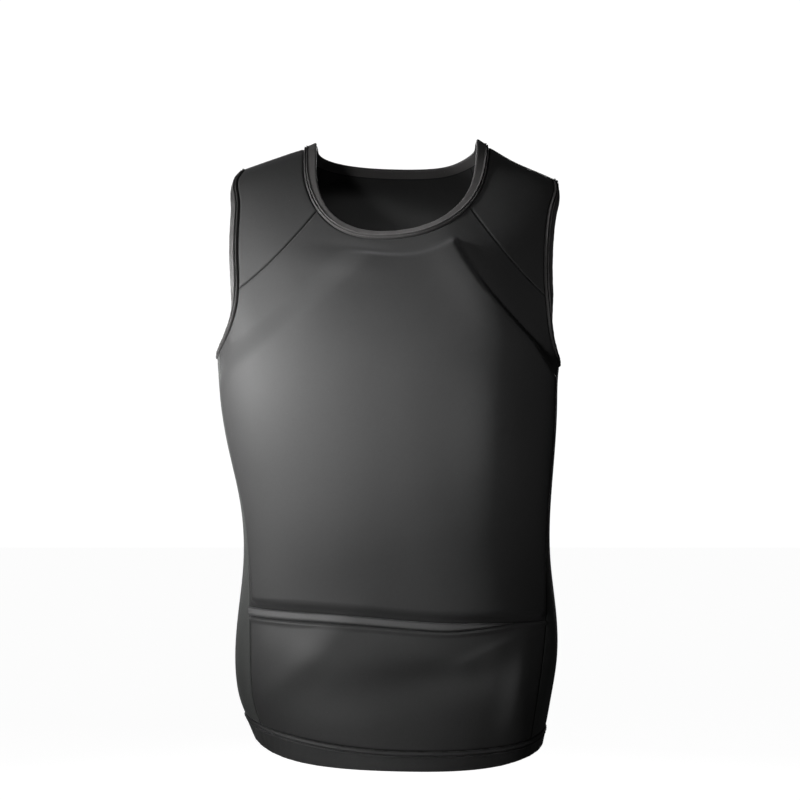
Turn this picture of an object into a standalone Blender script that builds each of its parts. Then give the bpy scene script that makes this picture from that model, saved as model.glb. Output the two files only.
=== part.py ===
"""A sleeveless body-armour tank top in the form that it has when it is worn.

Metres, +Z up. The front faces -Y and +X is the wearer's left. The origin is in the middle of
the neck opening, level with the top of its binding on the shoulders.

The garment is one fitted skin, described by level sections through the torso. A place on the
skin is a pair (angle, z): the angle in degrees round the torso, 0 at the middle of the front,
90 at the wearer's left side and 180 at the middle of the back, and the height z. The seams are
curves in that plane, and each panel is a grid between four of them, thickened into a wall.
"""

import math
from collections import namedtuple

import bpy
import numpy as np

# Walls and the clearance between pieces
WALL = 0.0020
GAP = 0.0003

# Level sections, top to bottom: the middle's shift to the wearer's left, half the width, the
# depth of the front and of the back, and the superellipse's exponent (2 is an ellipse).
Section = namedtuple("Section", "z shift half_width front back squareness")
SECTIONS = (
    Section(0.012, 0.000, 0.062, 0.022, 0.022, 2.10),
    Section(-0.005, 0.001, 0.104, 0.031, 0.033, 2.10),
    Section(-0.022, 0.001, 0.148, 0.039, 0.045, 2.12),
    Section(-0.038, 0.000, 0.184, 0.046, 0.056, 2.15),
    Section(-0.060, -0.001, 0.199, 0.056, 0.070, 2.18),
    Section(-0.090, -0.003, 0.204, 0.068, 0.084, 2.22),
    Section(-0.130, -0.004, 0.203, 0.085, 0.096, 2.28),
    Section(-0.175, -0.003, 0.197, 0.102, 0.104, 2.34),
    Section(-0.224, -0.007, 0.185, 0.114, 0.106, 2.40),
    Section(-0.275, -0.007, 0.181, 0.118, 0.101, 2.42),
    Section(-0.330, -0.004, 0.175, 0.116, 0.092, 2.40),
    Section(-0.385, 0.000, 0.167, 0.111, 0.085, 2.36),
    Section(-0.440, 0.002, 0.165, 0.107, 0.084, 2.32),
    Section(-0.495, 0.003, 0.170, 0.107, 0.091, 2.30),
    Section(-0.545, 0.001, 0.173, 0.110, 0.099, 2.30),
    Section(-0.590, -0.001, 0.168, 0.110, 0.103, 2.30),
    Section(-0.630, 0.001, 0.158, 0.108, 0.102, 2.26),
    Section(-0.665, 0.004, 0.144, 0.106, 0.100, 2.22),
)
LEFT_DROP = 0.022  # how far the wearer's left hangs lower, for each metre of width

# The cloth stands higher against the wearer's neck on their left: by how much, where, over
# what half width, and the heights between which it sets in.
NECK_RISE = 0.0070
NECK_RISE_X = 0.092
NECK_RISE_HALF_WIDTH = 0.026
NECK_RISE_HEIGHTS = (-0.045, -0.008)

# Level lines that slant: the height by which they rise, none at the first x and all of it at
# the second, and how far up and down that reaches.
Slant = namedtuple("Slant", "z reach height from_x to_x")
SLANTS = (
    Slant(-0.500, 0.050, 0.0070, 0.068, -0.085),
    Slant(-0.630, 0.030, 0.0085, 0.015, -0.150),
)

# Broad dents and swells of the front: middle, half sizes along and across, the turn of the long
# side from level in degrees, and how far it comes forward.
Fold = namedtuple("Fold", "x z along across turn rise")
FOLDS = (
    Fold(0.050, -0.524, 0.080, 0.016, -4.0, -0.0035),  # sag under the welt
    Fold(-0.085, -0.545, 0.045, 0.030, 0.0, 0.0025),
    Fold(0.136, -0.535, 0.036, 0.012, 82.0, 0.0030),
    Fold(0.112, -0.575, 0.050, 0.014, 76.0, -0.0020),
    Fold(-0.020, -0.600, 0.060, 0.020, 8.0, 0.0015),
)

# Neck seam, seen from the front
NECK_TOP = -0.005
NECK_HALF_WIDTH = 0.0990
NECK_DROP_FRONT = 0.101
NECK_DROP_BACK = 0.022
NECK_SQUARENESS = 2.3
NECK_SKEW = 0.004  # the front's opening is that much higher halfway up the wearer's left
YOKE_TURN_FRONT = 50.0  # where the yoke seams leave the neck seam, in degrees round it
YOKE_TURN_BACK = 128.0

# Armhole seam, in the (angle, z) plane, round a middle on the shoulder line
ARMHOLE_MIDDLE = -0.1345
ARMHOLE_HALF_HEIGHT = 0.100
ARMHOLE_SPAN_FRONT = 40.5
ARMHOLE_SPAN_BACK = 38.0
ARMHOLE_SQUARENESS_TOP = 3.3
ARMHOLE_SQUARENESS_BOTTOM = 2.4
YOKE_TURN_ARM = 75.0  # where the yoke seams reach the armhole seam, in degrees round it
YOKE_SAG = 0.006  # how far the yoke seams hang below a straight line

# Side seams: the angle from the shoulder line where a side panel meets the front or the back
SideSeam = namedtuple("SideSeam", "z spread")
SIDE_SEAMS = (
    SideSeam(-0.200, 17.5),
    SideSeam(-0.300, 20.0),
    SideSeam(-0.400, 20.5),
    SideSeam(-0.460, 23.5),
    SideSeam(-0.500, 28.0),
    SideSeam(-0.545, 32.0),
    SideSeam(-0.590, 32.5),
    SideSeam(-0.665, 30.5),
)

# Pocket mouth across the front, and the hem. The welt runs from the wearer's right side seam
# and tapers to a tip before it reaches the left one.
WELT_TOP = -0.500
WELT_HEIGHT = 0.0085
WELT_TIP_HEIGHT = 0.0008
WELT_TAPER = (0.25, 0.67)  # where the taper starts and ends, as shares of the half width
WELT_PROFILE = ((0.0, 0.35), (0.35, 1.0), (0.75, 0.90), (1.0, 0.45))  # height and lift shares
HEM_SEAM = -0.630
HEM_HEIGHT = 0.0205
HEM_SIDE_RISE = 0.013

# Soft armour sewn into the front and the back, as the lift that it gives the cloth
ARMOUR_THICKNESS = 0.0060
ARMOUR_EDGE = 0.020  # the width over which the cloth falls off the armour's edge
ARMOUR_BELOW_NECK = 0.011
ARMOUR_SIDE = 0.004
ARMOUR_BOTTOM = -0.489
CORNER_NEAR_NECK = (0.050, -0.106)  # the two ends of the corner that is cut for the arm
CORNER_NEAR_ARM = (0.158, -0.222)

# Grid sizes. Pieces that share a seam share its points.
YOKE_ACROSS = 5
YOKE_ALONG = 18
NECK_FRONT = 14
NECK_BACK = 14
ARMHOLE_PANEL = 8
ARMHOLE_SIDE = 6
SIDE_UPPER = 14
SIDE_LOWER = 6
ACROSS = NECK_FRONT + 2 * YOKE_ACROSS
WELT_ACROSS = 20  # of the columns across the front

# Bindings: width, thickness, how far they stand proud of the cloth, and the turn of the free
# edge towards the outside, in degrees
NECK_BAND = 0.0105
NECK_BAND_THICKNESS = 0.0032
NECK_TURN_FRONT = -24.0
NECK_TURN_SHOULDER = 34.0
NECK_TURN_BACK = 12.0
ARM_BAND = 0.0105
ARM_BAND_THICKNESS = 0.0032
ARM_TURN_SHOULDER = -30.0
ARM_TURN_FRONT = -10.0
BAND_PROUD = 0.0010
WELT_PROUD = 0.0024
HEM_PROUD = 0.0009
HEM_THICKNESS = 0.0034

LEFT, RIGHT = 1, -1


def spline(xs, ys):
    """A natural cubic spline through the points, as a function of x."""
    xs, ys = np.array(xs, float), np.array(ys, float)
    order = np.argsort(xs)
    xs, ys = xs[order], ys[order]
    step = np.diff(xs)
    count = len(xs)
    matrix, rhs = np.eye(count), np.zeros(count)
    for i in range(1, count - 1):
        matrix[i, i - 1 : i + 2] = step[i - 1], 2 * (step[i - 1] + step[i]), step[i]
        rhs[i] = 6 * ((ys[i + 1] - ys[i]) / step[i] - (ys[i] - ys[i - 1]) / step[i - 1])
    bend = np.linalg.solve(matrix, rhs)

    def value(x):
        i = min(max(int(np.searchsorted(xs, x)) - 1, 0), count - 2)
        a, b = xs[i + 1] - x, x - xs[i]
        return (
            (bend[i] * a**3 + bend[i + 1] * b**3) / (6 * step[i])
            + (ys[i] / step[i] - bend[i] * step[i] / 6) * a
            + (ys[i + 1] / step[i] - bend[i + 1] * step[i] / 6) * b
        )

    return value


def column(table, name):
    return spline([row.z for row in table], [getattr(row, name) for row in table])


SHIFT = column(SECTIONS, "shift")
HALF_WIDTH = column(SECTIONS, "half_width")
FRONT = column(SECTIONS, "front")
BACK = column(SECTIONS, "back")
SQUARENESS = column(SECTIONS, "squareness")
SIDE_SPREAD = column(SIDE_SEAMS, "spread")


def unit(vector):
    return vector / np.linalg.norm(vector)


def near(angle, middle):
    """The same angle, counted so that it lies within half a turn of the middle."""
    return middle + (angle - middle + 180) % 360 - 180


def steps(start, end, count):
    return [start + (end - start) * i / count for i in range(count + 1)]


def centred(places, middle):
    return [(near(angle, middle), z) for angle, z in places]


def ellipse_point(degrees, squareness):
    """(sine side, cosine side) of a unit superellipse at that direction."""
    s, c = math.sin(math.radians(degrees)), math.cos(math.radians(degrees))
    reach = (abs(s) ** squareness + abs(c) ** squareness) ** (-1 / squareness)
    return s * reach, c * reach


def fold_rise(fold, x, z):
    """How far forward a fold brings the front there."""
    cosine, sine = math.cos(math.radians(fold.turn)), math.sin(math.radians(fold.turn))
    across, up = x - fold.x, z - fold.z
    long_way = (across * cosine + up * sine) / fold.along
    short_way = (up * cosine - across * sine) / fold.across
    return fold.rise * math.exp(-long_way * long_way - short_way * short_way)


def neck_rise(x, z):
    """How much higher the cloth stands there, beside the wearer's neck."""
    low, high = NECK_RISE_HEIGHTS
    share = max(0.0, min(1.0, (z - low) / (high - low)))
    off = (x - NECK_RISE_X) / NECK_RISE_HALF_WIDTH
    return NECK_RISE * share * share * (3 - 2 * share) * math.exp(-off * off)


def slant(x, z):
    """How much higher the cloth's level lines lie there."""
    total = 0.0
    for row in SLANTS:
        share = max(0.0, min(1.0, (x - row.from_x) / (row.to_x - row.from_x)))
        off = (z - row.z) / row.reach
        total += row.height * share * share * (3 - 2 * share) * math.exp(-off * off)
    return total


def skin(place):
    """The point of the skin at (angle, z)."""
    angle, z = place
    s, c = ellipse_point(angle, SQUARENESS(z))
    x = SHIFT(z) + HALF_WIDTH(z) * s
    y = -c * (FRONT(z) if c > 0 else BACK(z))
    if c > 0:
        y -= c * sum(fold_rise(fold, x, z) for fold in FOLDS)
    return np.array((x, y, z - LEFT_DROP * x + neck_rise(x, z) + slant(x, z)))


def outward(place):
    """The skin's unit normal at (angle, z)."""
    angle, z = place
    turn, rise = 0.5, 0.001
    round_it = skin((angle + turn, z)) - skin((angle - turn, z))
    up = skin((angle, z + rise)) - skin((angle, z - rise))
    return unit(np.cross(round_it, up))


def angle_at(x, z, front=True):
    """The angle of the skin's point at that x and z, on the front or on the back."""
    squareness = SQUARENESS(z)
    s = max(-1.0, min(1.0, (x - SHIFT(z)) / HALF_WIDTH(z)))
    c = (1 - abs(s) ** squareness) ** (1 / squareness)
    return math.degrees(math.atan2(s, c if front else -c)) % 360


def flat(place):
    """The x and z of a place, as seen from the front, before the skin's slant."""
    angle, z = place
    s, _ = ellipse_point(angle, SQUARENESS(z))
    return SHIFT(z) + HALF_WIDTH(z) * s, z


def neck_place(turn):
    """A place on the neck seam: turn is 0 at the middle of the front, 90 on the wearer's left
    shoulder and 180 at the middle of the back."""
    s, c = ellipse_point(turn, NECK_SQUARENESS)
    drop = NECK_DROP_FRONT if c > 0 else NECK_DROP_BACK
    z = NECK_TOP - abs(c) * drop
    if c > 0:
        z += NECK_SKEW * math.sin(math.radians(2 * turn))
    return angle_at(NECK_HALF_WIDTH * s + SHIFT(z), z, front=c > 0), z


def armhole_place(turn, side):
    """A place on an armhole seam: turn is 0 under the arm, 90 at the front, 180 on the
    shoulder and 270 at the back."""
    low = math.cos(math.radians(turn)) > 0
    s, c = ellipse_point(turn, ARMHOLE_SQUARENESS_BOTTOM if low else ARMHOLE_SQUARENESS_TOP)
    span = ARMHOLE_SPAN_FRONT if s > 0 else ARMHOLE_SPAN_BACK
    return side * (90 - span * s), ARMHOLE_MIDDLE - ARMHOLE_HALF_HEIGHT * c


def neck_run(start, end, count):
    return [neck_place(turn) for turn in steps(start, end, count)]


def armhole_run(start, end, count, side):
    return [armhole_place(turn, side) for turn in steps(start, end, count)]


def yoke_seam(side, front=True):
    """Places down a yoke seam, from the neck to the armhole."""
    neck_turn = YOKE_TURN_FRONT if front else YOKE_TURN_BACK
    arm_turn = YOKE_TURN_ARM if front else 360 - YOKE_TURN_ARM
    first, last = neck_place(side * neck_turn), armhole_place(arm_turn, side)
    (x0, z0), (x1, z1) = flat(first), flat(last)
    places = [first]
    for t in steps(0, 1, YOKE_ACROSS)[1:-1]:
        x = x0 + (x1 - x0) * t
        z = z0 + (z1 - z0) * t - 4 * YOKE_SAG * t * (1 - t)
        places.append((angle_at(x, z, front), z))
    return places + [last]


def side_seam(side, zs, front=True):
    """Places down a side seam at these heights."""
    off = 1 if front else -1
    return [(side * (90 - off * SIDE_SPREAD(z)), z) for z in zs]


def hem_height(angle, z):
    """A level line's height at that angle: it rises a little at the sides, as the hem does."""
    share = (z - WELT_TOP) / (HEM_SEAM - WELT_TOP)
    return z + HEM_SIDE_RISE * share * math.sin(math.radians(angle)) ** 4


def level_line(z, start, end, count):
    return [(angle, hem_height(angle, z)) for angle in steps(start, end, count)]


def armhole_corner(front=True):
    """The turn round the armhole seam at which a side seam meets it."""
    share = SIDE_SEAMS[0].spread / (ARMHOLE_SPAN_FRONT if front else ARMHOLE_SPAN_BACK)
    power = ARMHOLE_SQUARENESS_BOTTOM
    return math.degrees(math.atan2(share, (1 - share**power) ** (1 / power)))


def seam_heights(front=True):
    """Heights down a side seam, from the armhole seam to the hem seam. The welt's top and foot
    are among them."""
    off = SIDE_SPREAD(HEM_SEAM) * (1 if front else -1)
    upper = steps(armhole_place(armhole_corner(front), LEFT)[1], WELT_TOP, SIDE_UPPER)
    return upper + steps(WELT_TOP - WELT_HEIGHT, hem_height(90 - off, HEM_SEAM), SIDE_LOWER)


def side_edge(side, front=True, top=True, bottom=True):
    """An edge of a side panel from the bottom up. Without its top or its bottom it stops at
    the welt's foot or at its top."""
    heights = seam_heights(front)
    places = side_seam(side, heights, front)
    corner = armhole_corner(front) if front else -armhole_corner(front)
    places[0] = armhole_place(corner, side)
    if not bottom:
        places = places[: SIDE_UPPER + 1]
    if not top:
        places = places[SIDE_UPPER + 1 :]
    return places[::-1]


def mouth_line():
    """Places across the front along the top of the pocket's mouth."""
    end = 90 - SIDE_SPREAD(WELT_TOP)
    return [(angle, WELT_TOP) for angle in steps(-end, end, ACROSS)]


def welt_height(angle):
    """The welt's height at that angle: full, then tapering to its tip."""
    share, _ = ellipse_point(angle, SQUARENESS(WELT_TOP))
    start, end = WELT_TAPER
    taper = max(0.0, min(1.0, (share - start) / (end - start)))
    return WELT_HEIGHT + (WELT_TIP_HEIGHT - WELT_HEIGHT) * taper**1.5


def welt_foot():
    """Places under the mouth line, along the foot of the welt and then the lower front's top."""
    places = mouth_line()
    end = places[-1][0]
    for i in range(WELT_ACROSS + 1):
        angle = places[i][0]
        z = WELT_TOP - welt_height(angle)
        if angle < 0:
            angle *= (90 - SIDE_SPREAD(z)) / end
        places[i] = angle, z
    return places


def top_edge(front=True):
    """The upper edge of the front or the back, left to right as seen from outside: a yoke
    seam, the neck seam and the other yoke seam."""
    middle, near_side = (0, RIGHT) if front else (180, LEFT)
    turn = YOKE_TURN_FRONT if front else YOKE_TURN_BACK
    rising = yoke_seam(near_side, front)[::-1]
    falling = yoke_seam(-near_side, front)
    if front:
        neck = neck_run(-turn, turn, NECK_FRONT)
    else:
        neck = neck_run(turn, 360 - turn, NECK_BACK)
    return centred(rising[:-1] + neck + falling[1:], middle)


def face_edge(side, front=True, bottom=True):
    """A side of the front or the back from the bottom up: a side seam, then the armhole."""
    start, end = armhole_corner(front), YOKE_TURN_ARM
    if not front:
        start, end = 360 - start, 360 - end
    armhole = armhole_run(start, end, ARMHOLE_PANEL, side)
    return centred(side_edge(side, front, bottom=bottom)[:-1] + armhole, 0 if front else 180)


def patch(bottom, top, left, right):
    """A grid of places between four edges, by transfinite interpolation. bottom and top run
    from left to right, left and right run from the bottom up."""
    bottom, top, left, right = (np.array(edge) for edge in (bottom, top, left, right))
    columns, rows = len(bottom) - 1, len(left) - 1
    grid = np.zeros((rows + 1, columns + 1, 2))
    for j in range(rows + 1):
        v = j / rows
        for i in range(columns + 1):
            u = i / columns
            corners = (
                (1 - u) * (1 - v) * bottom[0]
                + u * (1 - v) * bottom[-1]
                + (1 - u) * v * top[0]
                + u * v * top[-1]
            )
            grid[j, i] = (
                (1 - v) * bottom[i]
                + v * top[i]
                + (1 - u) * left[j]
                + u * right[j]
                - corners
            )
    return grid


def face_patch(bottom, top, left, right, front=True):
    """A patch of the front or the back, evened out as it is seen from there."""
    edges = [[flat(place) for place in edge] for edge in (bottom, top, left, right)]
    grid = patch(*edges)
    rows, columns, _ = grid.shape
    for j in range(rows):
        for i in range(columns):
            x, z = grid[j, i]
            grid[j, i] = angle_at(x, z, front), z
    return grid


def armour(place):
    """How far the armour behind it lifts the cloth at (angle, z)."""
    angle, z = place
    s, c = ellipse_point(angle, SQUARENESS(z))
    front = c > 0
    x = HALF_WIDTH(z) * s
    share = min(1.0, abs(x) / NECK_HALF_WIDTH)
    scoop = (1 - share**NECK_SQUARENESS) ** (1 / NECK_SQUARENESS)
    drop = NECK_DROP_FRONT if front else NECK_DROP_BACK
    below_neck = NECK_TOP - drop * scoop - ARMOUR_BELOW_NECK - z
    (x0, z0), (x1, z1) = CORNER_NEAR_NECK, CORNER_NEAR_ARM
    across, down = x1 - x0, z1 - z0
    inside_corner = ((abs(x) - x0) * down - (z - z0) * across) / math.hypot(across, down)
    off_side = abs(abs(near(angle, 0)) - 90) - SIDE_SPREAD(z)
    inside_side = math.radians(off_side) * HALF_WIDTH(z) - ARMOUR_SIDE
    above_bottom = z - ARMOUR_BOTTOM
    inside = min(below_neck, inside_corner, inside_side, above_bottom) / ARMOUR_EDGE
    inside = max(0.0, min(1.0, inside))
    return ARMOUR_THICKNESS * inside * inside * (3 - 2 * inside)


def no_lift(_place):
    return 0.0


def drawn_in(points, normals):
    """The grid's points with its border moved in by half the gap, so that neighbours clear."""
    rows, columns, _ = points.shape
    moved = points.copy()
    for j in range(rows):
        for i in range(columns):
            along = points[j, min(i + 1, columns - 1)] - points[j, max(i - 1, 0)]
            up = points[min(j + 1, rows - 1), i] - points[max(j - 1, 0), i]
            normal = normals[j, i]
            if i in (0, columns - 1):
                inwards = unit(np.cross(up, normal)) * (1 if i == 0 else -1)
                moved[j, i] += inwards * GAP / 2
            if j in (0, rows - 1):
                inwards = unit(np.cross(normal, along)) * (1 if j == 0 else -1)
                moved[j, i] += inwards * GAP / 2
    return moved


def panel(name, grid, material, lift=no_lift):
    """A wall over a grid of places: its outside is lifted off the skin, its inside is plain."""
    rows, columns, _ = grid.shape
    places = [[tuple(grid[j, i]) for i in range(columns)] for j in range(rows)]
    points = np.array([[skin(place) for place in row] for row in places])
    normals = np.array([[outward(place) for place in row] for row in places])
    lifts = np.array([[lift(place) for place in row] for row in places])
    points = drawn_in(points, normals)
    outside = points + normals * lifts[..., None]
    inside = points - normals * WALL
    vertices = [*outside.reshape(-1, 3), *inside.reshape(-1, 3)]
    count = rows * columns

    def at(j, i, layer):
        return layer * count + j * columns + i

    faces = []
    for j in range(rows - 1):
        for i in range(columns - 1):
            square = [(j, i), (j, i + 1), (j + 1, i + 1), (j + 1, i)]
            faces.append([at(a, b, 0) for a, b in square])
            faces.append([at(a, b, 1) for a, b in reversed(square)])
    border = [(0, i) for i in range(columns - 1)]
    border += [(j, columns - 1) for j in range(rows - 1)]
    border += [(rows - 1, i) for i in range(columns - 1, 0, -1)]
    border += [(j, 0) for j in range(rows - 1, 0, -1)]
    for a, b in zip(border, border[1:] + border[:1]):
        faces.append([at(*b, 0), at(*a, 0), at(*a, 1), at(*b, 1)])
    return solid(name, vertices, faces, material)


def band_profile(width, thickness, proud, bend):
    """A flat band's outline with a round free edge, as (across, outwards) pairs. It starts
    half a gap from its seam, and its free edge turns by bend degrees towards the outside."""
    radius = thickness / 2
    reach = width - radius
    outline = [(GAP / 2, proud - thickness), (reach, proud - thickness)]
    for angle in (-45, 0, 45):
        turned = math.radians(angle)
        round_edge = reach + radius * math.cos(turned)
        outline.append((round_edge, proud - radius + radius * math.sin(turned)))
    outline += [(reach, proud), (reach / 2, proud), (GAP / 2, proud)]
    return [curled(across, out, math.radians(bend) / width) for across, out in outline]


def curled(across, out, curvature):
    """A point of a flat band once the band is rolled up with that curvature."""
    if curvature == 0:
        return across, out
    turned = curvature * across
    middle = 1 / curvature - out
    return middle * math.sin(turned), 1 / curvature - middle * math.cos(turned)


def ring(name, places, profile_at, material):
    """A band swept round a closed seam. Its profile's first axis points off the seam, to the
    left of the seam's direction as seen from outside, and its second axis points outwards."""
    count = len(places)
    points = np.array([skin(place) for place in places])
    normals = np.array([outward(place) for place in places])
    vertices = []
    for k in range(count):
        along = unit(points[(k + 1) % count] - points[k - 1])
        across = unit(np.cross(normals[k], along))
        for reach, out in profile_at(k):
            vertices.append(points[k] + across * reach + normals[k] * out)
    size = len(vertices) // count
    faces = []
    for k in range(count):
        after = (k + 1) % count
        for i in range(size):
            j = (i + 1) % size
            faces.append([k * size + j, after * size + j, after * size + i, k * size + i])
    return solid(name, vertices, faces, material)


def solid(name, vertices, faces, material):
    mesh = bpy.data.meshes.new(name)
    mesh.from_pydata([tuple(vertex) for vertex in vertices], [], faces)
    mesh.update()
    mesh.shade_smooth()
    mesh.set_sharp_from_angle(angle=math.radians(40))
    mesh.materials.append(material)
    thing = bpy.data.objects.new(name, mesh)
    bpy.context.scene.collection.objects.link(thing)
    return thing


def cloth(name, shade, roughness):
    """A plain dark cloth material."""
    material = bpy.data.materials.new(name)
    material.use_nodes = True
    shader = material.node_tree.nodes["Principled BSDF"]
    shader.inputs["Base Color"].default_value = (shade, shade, shade * 1.03, 1.0)
    shader.inputs["Roughness"].default_value = roughness
    shader.inputs["Metallic"].default_value = 0.0
    return material


def build_front(material):
    """The front, from the neck to the pocket's mouth."""
    left, right = (face_edge(side, bottom=False) for side in (RIGHT, LEFT))
    panel("front_panel", face_patch(mouth_line(), top_edge(), left, right), material, armour)


def build_lower_front(material):
    """The front between the pocket's mouth and the hem."""
    left = side_edge(RIGHT, top=False)
    foot = left[0][1]
    right = side_seam(LEFT, steps(foot, WELT_TOP, SIDE_LOWER))
    bottom = level_line(HEM_SEAM, left[0][0], right[0][0], ACROSS)
    panel("lower_front_panel", face_patch(bottom, welt_foot(), left, right), material)


def build_welt(material):
    """The welt of the pocket's mouth, which stands proud of the front."""
    count = WELT_ACROSS + 1
    tops, feet = np.array(mouth_line()[:count]), np.array(welt_foot()[:count])
    heights, lifts = zip(*WELT_PROFILE)
    grid = np.array([feet + (tops - feet) * share for share in heights])

    def lift(place):
        angle, z = place
        share = 1 - (WELT_TOP - z) / welt_height(angle)
        return WELT_PROUD * float(np.interp(share, heights, lifts))

    panel("pocket_welt", grid, material, lift)


def build_back(material):
    """The back, from the neck to the hem."""
    left, right = (face_edge(side, front=False) for side in (LEFT, RIGHT))
    bottom = level_line(HEM_SEAM, left[0][0], right[0][0], ACROSS)
    grid = face_patch(bottom, top_edge(False), left, right, front=False)
    panel("back_panel", grid, material, armour)


def build_side(side, name, material):
    """A side panel, from the armhole seam to the hem seam."""
    left, right = side_edge(side, front=True), side_edge(side, front=False)
    turns = (armhole_corner(True), -armhole_corner(False))
    if side == RIGHT:
        left, right, turns = right, left, turns[::-1]
    top = armhole_run(*turns, ARMHOLE_SIDE, side)
    bottom = level_line(HEM_SEAM, left[0][0], right[0][0], ARMHOLE_SIDE)
    panel(name, patch(bottom, top, left, right), material)


def build_yoke(side, name, material):
    """A shoulder yoke: from the front yoke seam over the shoulder to the back yoke seam."""
    neck = neck_run(side * YOKE_TURN_FRONT, side * YOKE_TURN_BACK, YOKE_ALONG)
    arm = armhole_run(YOKE_TURN_ARM, 360 - YOKE_TURN_ARM, YOKE_ALONG, side)
    front, back = yoke_seam(side, True), yoke_seam(side, False)
    edges = [centred(edge, side * 90) for edge in (neck, arm, front, back)]
    neck, arm, front, back = edges
    if side == LEFT:
        grid = patch(arm, neck, front[::-1], back[::-1])
    else:
        grid = patch(arm[::-1], neck[::-1], back[::-1], front[::-1])
    panel(name, grid, material)


def build_neck_binding(material):
    """The binding round the neck opening, turned up on the shoulders."""
    front, back = YOKE_TURN_FRONT, YOKE_TURN_BACK
    corners = (-front, front, back, 360 - back, 360 - front)
    counts = (NECK_FRONT, YOKE_ALONG, NECK_BACK, YOKE_ALONG)
    turns = []
    for start, end, count in zip(corners, corners[1:], counts):
        turns += steps(start, end, count)[:-1]

    def profile(k):
        level = math.cos(math.radians(turns[k]))
        end = NECK_TURN_FRONT if level > 0 else NECK_TURN_BACK
        bend = NECK_TURN_SHOULDER + (end - NECK_TURN_SHOULDER) * level * level
        return band_profile(NECK_BAND, NECK_BAND_THICKNESS, BAND_PROUD, bend)

    ring("neck_binding", [neck_place(turn) for turn in turns], profile, material)


def build_armhole_binding(side, name, material):
    """The binding round an armhole."""
    front, back, arm = armhole_corner(True), armhole_corner(False), YOKE_TURN_ARM
    corners = (-back, front, arm, 360 - arm, 360 - back)
    counts = (ARMHOLE_SIDE, ARMHOLE_PANEL, YOKE_ALONG, ARMHOLE_PANEL)
    run = []
    for start, end, count in zip(corners, corners[1:], counts):
        run += armhole_run(start, end, count, side)[:-1]
    if side == LEFT:
        run = run[::-1]

    def profile(k):
        height = (run[k][1] - ARMHOLE_MIDDLE) / ARMHOLE_HALF_HEIGHT
        top = max(0.0, height) ** 3
        bend = ARM_TURN_FRONT + (ARM_TURN_SHOULDER - ARM_TURN_FRONT) * top
        return band_profile(ARM_BAND, ARM_BAND_THICKNESS, BAND_PROUD, bend)

    ring(name, run, profile, material)


def build_hem(material):
    """The folded hem, a ring under all the panels."""
    side = SIDE_SPREAD(HEM_SEAM)
    corners = (side - 90, 90 - side, 90 + side, 270 - side, 270 + side)
    run = []
    for start, end, count in zip(corners, corners[1:], (ACROSS, ARMHOLE_SIDE) * 2):
        run += level_line(HEM_SEAM, start, end, count)[:-1]

    run = run[::-1]

    def profile(k):
        width = HEM_HEIGHT + slant(*flat(run[k]))
        return band_profile(width, HEM_THICKNESS, HEM_PROUD, 0.0)

    ring("hem_band", run, profile, material)


def main():
    for thing in list(bpy.data.objects):
        bpy.data.objects.remove(thing, do_unlink=True)
    build_front(cloth("front_cloth", 0.045, 0.55))
    build_lower_front(cloth("lower_front_cloth", 0.040, 0.58))
    build_back(cloth("back_cloth", 0.042, 0.58))
    for side, word in ((LEFT, "left"), (RIGHT, "right")):
        build_side(side, f"side_panel_{word}", cloth(f"side_cloth_{word}", 0.030, 0.70))
        build_yoke(side, f"shoulder_yoke_{word}", cloth(f"yoke_cloth_{word}", 0.038, 0.60))
        build_armhole_binding(
            side, f"armhole_binding_{word}", cloth(f"armhole_cloth_{word}", 0.050, 0.62)
        )
    build_neck_binding(cloth("neck_cloth", 0.050, 0.62))
    build_welt(cloth("welt_cloth", 0.052, 0.60))
    build_hem(cloth("hem_cloth", 0.040, 0.62))


main()
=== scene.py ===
"""The looks of a body-armour tank top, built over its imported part.

Metres, +Z up. The front faces -Y and +X is the wearer's left. A place on the garment's skin is
a pair: the angle round the torso, 0 at the middle of the front and 90 at the wearer's left
side, and the height z. The section and seam tables are the part's own, because this script can't
read its source. The folds and the rounded tops of the armholes are finer than the part's. Every
piece stands for the part's solid of the same place.
"""

import math
from collections import namedtuple
from functools import partial

import bpy
import numpy as np
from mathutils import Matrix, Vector


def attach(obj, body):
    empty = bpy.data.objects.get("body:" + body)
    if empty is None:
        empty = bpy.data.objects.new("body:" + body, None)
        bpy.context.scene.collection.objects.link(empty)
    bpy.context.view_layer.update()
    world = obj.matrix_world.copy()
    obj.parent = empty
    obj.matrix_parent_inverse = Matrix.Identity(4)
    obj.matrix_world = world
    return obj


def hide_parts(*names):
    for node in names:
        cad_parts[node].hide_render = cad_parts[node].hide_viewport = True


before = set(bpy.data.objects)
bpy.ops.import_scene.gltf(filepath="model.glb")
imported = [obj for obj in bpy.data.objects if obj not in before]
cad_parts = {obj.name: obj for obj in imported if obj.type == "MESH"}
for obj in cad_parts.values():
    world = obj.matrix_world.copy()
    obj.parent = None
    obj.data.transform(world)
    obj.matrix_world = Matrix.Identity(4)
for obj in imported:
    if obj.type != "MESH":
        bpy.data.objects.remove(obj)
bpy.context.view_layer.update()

# Walls as in the part. The pieces are sewn together here, so no light shows between them
WALL = 0.0020
GAP = 0.00001

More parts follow.
